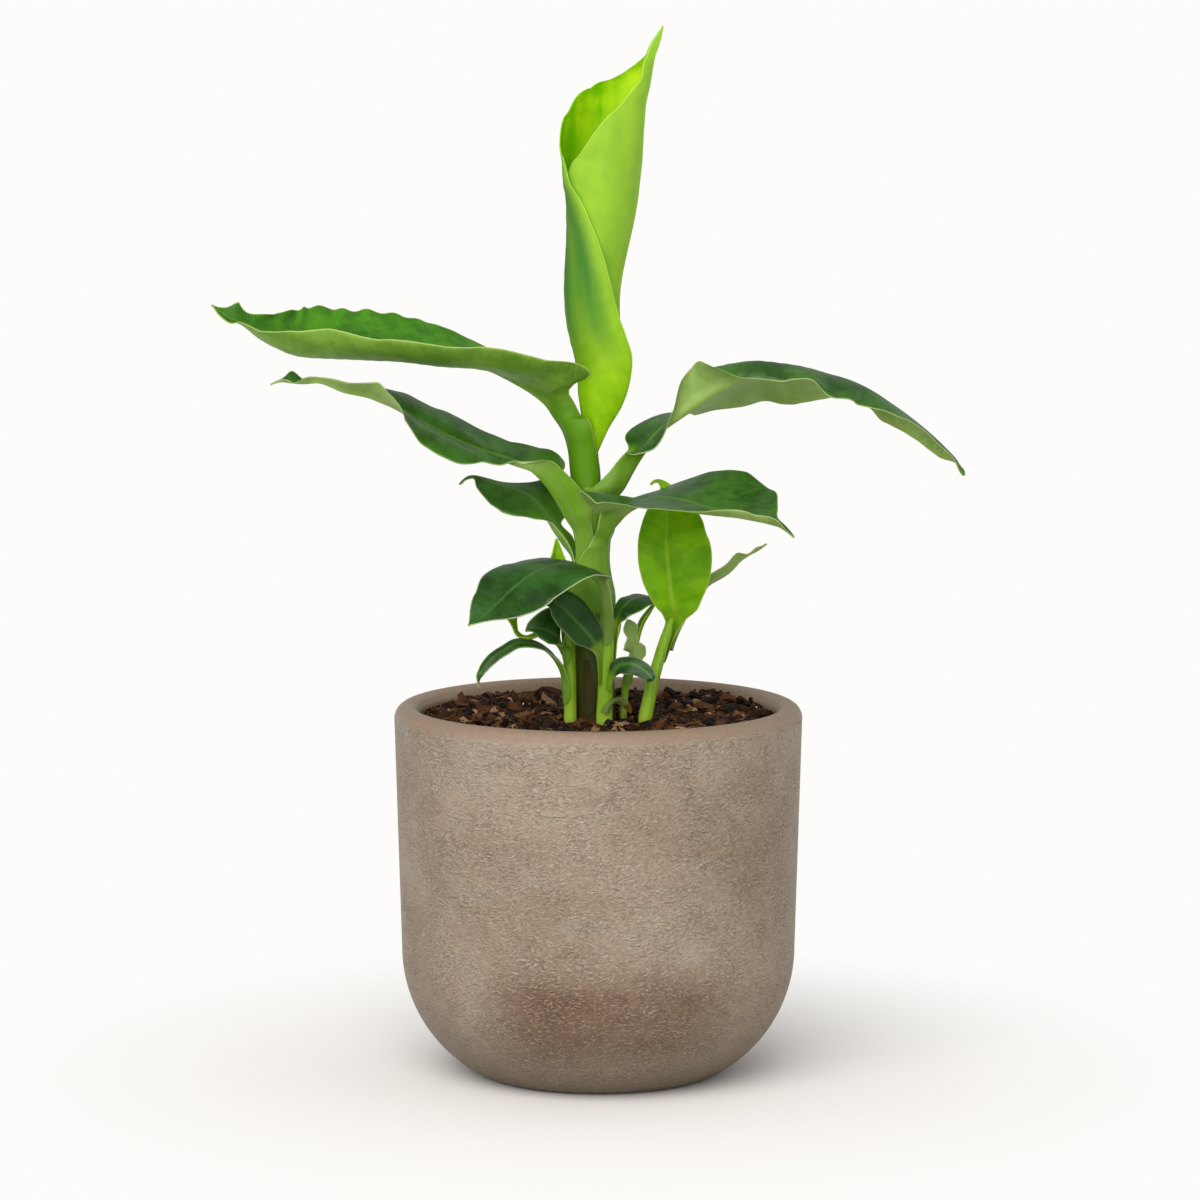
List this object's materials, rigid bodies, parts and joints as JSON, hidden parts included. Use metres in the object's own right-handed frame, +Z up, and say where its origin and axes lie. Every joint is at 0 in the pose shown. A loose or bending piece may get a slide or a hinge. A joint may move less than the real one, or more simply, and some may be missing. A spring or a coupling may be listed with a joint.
{
  "type": "potted banana plant",
  "caption": "Young banana plant with long glossy leaves and offshoots, in bark mix in a round bowl-bottomed pot with a rolled lip.",
  "frame": {"origin": "centre of the pot's flat base", "axes": "+Z up along the pot's axis, +X to the right of a viewer who stands at -Y; the longest leaves reach out along X"},
  "size_m": [0.3498, 0.192, 0.492],
  "materials": {
    "pot": "matt taupe with a fine scratchy texture and cloudy lighter patches",
    "soil": "dark damp bark mix with paler chips and fibres",
    "stem": "smooth, slightly waxy green with brown at the foot",
    "leaf": "glossy dark green with fine parallel veins and a pale yellow margin; paler, duller underside",
    "fresh_leaf": "satin bright yellow-green, lets light through, fine parallel veins",
    "dried_leaf": "dull papery brown"
  },
  "bodies": {
    "root": {"pot": "pot", "soil": "soil", "main_stem": "stem", "front_shoot_stem": "stem", "left_shoot_stem": "stem", "right_shoot_stem": "stem", "small_shoot_stem": "stem", "unfurling_leaf": "fresh_leaf", "upper_left_leaf": "leaf", "upper_right_leaf": "leaf", "middle_left_leaf": "leaf", "middle_right_leaf": "leaf", "lower_left_leaf": "leaf", "front_left_leaf": "leaf", "front_lower_leaf": "leaf", "front_right_leaf": "leaf", "front_drooping_leaf": "leaf", "base_scale_leaf": "leaf", "dried_sheath": "dried_leaf", "left_upright_leaf": "fresh_leaf", "left_small_leaf": "fresh_leaf", "left_arching_leaf": "leaf", "left_hanging_leaf": "leaf", "right_large_leaf": "fresh_leaf", "right_thin_leaf": "leaf", "small_rolled_leaf": "fresh_leaf", "small_torn_leaf": "leaf"}
  },
  "joints": []
}
